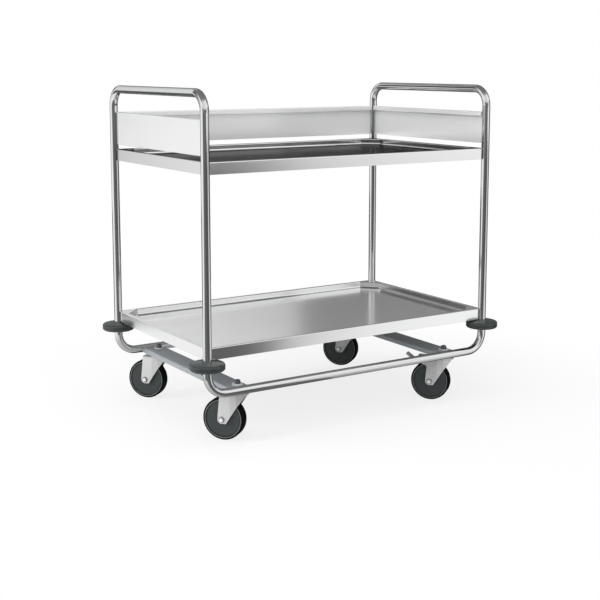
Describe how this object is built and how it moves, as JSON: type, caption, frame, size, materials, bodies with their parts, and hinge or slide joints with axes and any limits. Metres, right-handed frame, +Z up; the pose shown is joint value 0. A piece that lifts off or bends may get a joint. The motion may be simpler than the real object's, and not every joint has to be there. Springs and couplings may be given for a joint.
{
  "type": "tray return trolley",
  "caption": "Tray return trolley with a bent tube frame, push handles at both ends, pressed tray shelves, a gallery round the upper shelf, corner bumpers and swivel casters with brakes.",
  "frame": {"origin": "on the floor, under the middle of the tube frame", "axes": "+X along the trolley towards the braked end, +Y from the open front to the back gallery, +Z up"},
  "size_m": [1.1, 0.7094, 1.0085],
  "materials": {
    "tube_steel": "polished",
    "sheet_steel": "satin",
    "channel_steel": "matt",
    "zinc_steel": "zinc plated",
    "bright_steel": "bright",
    "bolt_steel": "dark",
    "bumper_rubber": "satin",
    "wheel_plastic": "matt",
    "tyre_rubber": "matt",
    "bush_plastic": "plain"
  },
  "bodies": {
    "frame": {"left_push_bow": "tube_steel", "right_push_bow": "tube_steel", "front_base_rail": "tube_steel", "back_base_rail": "tube_steel", "joint_spigots": "tube_steel", "upper_shelf": "sheet_steel", "lower_shelf": "sheet_steel", "upper_shelf_rails": "sheet_steel", "lower_shelf_rails": "sheet_steel", "left_gallery": "sheet_steel", "right_gallery": "sheet_steel", "back_gallery": "sheet_steel", "left_cross_member": "channel_steel", "right_cross_member": "channel_steel", "bumper_front_left": "bumper_rubber", "bumper_back_left": "bumper_rubber", "bumper_front_right": "bumper_rubber", "bumper_back_right": "bumper_rubber", "king_bolt_washers": "bright_steel", "king_bolt_nuts": "bolt_steel", "swivel_head_fl": "zinc_steel", "king_bolt_fl": "bolt_steel", "swivel_head_bl": "zinc_steel", "king_bolt_bl": "bolt_steel", "swivel_head_fr": "zinc_steel", "king_bolt_fr": "bolt_steel", "swivel_head_br": "zinc_steel", "king_bolt_br": "bolt_steel"},
    "caster_fl": {"fork_fl": "zinc_steel", "swivel_balls_fl": "bright_steel", "axle_fl": "bright_steel"},
    "rolling_wheel_fl": {"wheel_fl": "wheel_plastic", "tyre_fl": "tyre_rubber", "wheel_bush_fl": "bush_plastic"},
    "caster_bl": {"fork_bl": "zinc_steel", "swivel_balls_bl": "bright_steel", "axle_bl": "bright_steel"},
    "rolling_wheel_bl": {"wheel_bl": "wheel_plastic", "tyre_bl": "tyre_rubber", "wheel_bush_bl": "bush_plastic"},
    "caster_fr": {"fork_fr": "zinc_steel", "swivel_balls_fr": "bright_steel", "axle_fr": "bright_steel", "brake_pin_fr": "bright_steel"},
    "rolling_wheel_fr": {"wheel_fr": "wheel_plastic", "tyre_fr": "tyre_rubber", "wheel_bush_fr": "bush_plastic"},
    "caster_br": {"fork_br": "zinc_steel", "swivel_balls_br": "bright_steel", "axle_br": "bright_steel", "brake_pin_br": "bright_steel"},
    "rolling_wheel_br": {"wheel_br": "wheel_plastic", "tyre_br": "tyre_rubber", "wheel_bush_br": "bush_plastic"},
    "pedal_fr": {"brake_pedal_fr": "zinc_steel"},
    "pedal_br": {"brake_pedal_br": "zinc_steel"}
  },
  "joints": [
    {"name": "swivel_fl", "type": "hinge", "parent": "frame", "child": "caster_fl", "pos_m": [-0.38, -0.256, 0.141], "axis": [0, 0, 1], "continuous": true},
    {"name": "roll_fl", "type": "hinge", "parent": "caster_fl", "child": "rolling_wheel_fl", "pos_m": [-0.40496, -0.22474, 0.0625], "axis": [-0.7815, -0.6239, 0], "continuous": true},
    {"name": "swivel_bl", "type": "hinge", "parent": "frame", "child": "caster_bl", "pos_m": [-0.38, 0.256, 0.141], "axis": [0, 0, 1], "continuous": true},
    {"name": "roll_bl", "type": "hinge", "parent": "caster_bl", "child": "rolling_wheel_bl", "pos_m": [-0.40496, 0.28726, 0.0625], "axis": [-0.7815, -0.6239, 0], "continuous": true},
    {"name": "swivel_fr", "type": "hinge", "parent": "frame", "child": "caster_fr", "pos_m": [0.38, -0.256, 0.141], "axis": [0, 0, 1], "continuous": true},
    {"name": "roll_fr", "type": "hinge", "parent": "caster_fr", "child": "rolling_wheel_fr", "pos_m": [0.35504, -0.22474, 0.0625], "axis": [-0.7815, -0.6239, 0], "continuous": true},
    {"name": "swivel_br", "type": "hinge", "parent": "frame", "child": "caster_br", "pos_m": [0.38, 0.256, 0.141], "axis": [0, 0, 1], "continuous": true},
    {"name": "roll_br", "type": "hinge", "parent": "caster_br", "child": "rolling_wheel_br", "pos_m": [0.35504, 0.28726, 0.0625], "axis": [-0.7815, -0.6239, 0], "continuous": true},
    {"name": "brake_fr", "type": "hinge", "parent": "caster_fr", "child": "pedal_fr", "pos_m": [0.33009, -0.19348, 0.132], "axis": [-0.7815, -0.6239, 0], "range_deg": [0, 14]},
    {"name": "brake_br", "type": "hinge", "parent": "caster_br", "child": "pedal_br", "pos_m": [0.33009, 0.31852, 0.132], "axis": [-0.7815, -0.6239, 0], "range_deg": [0, 14]}
  ]
}
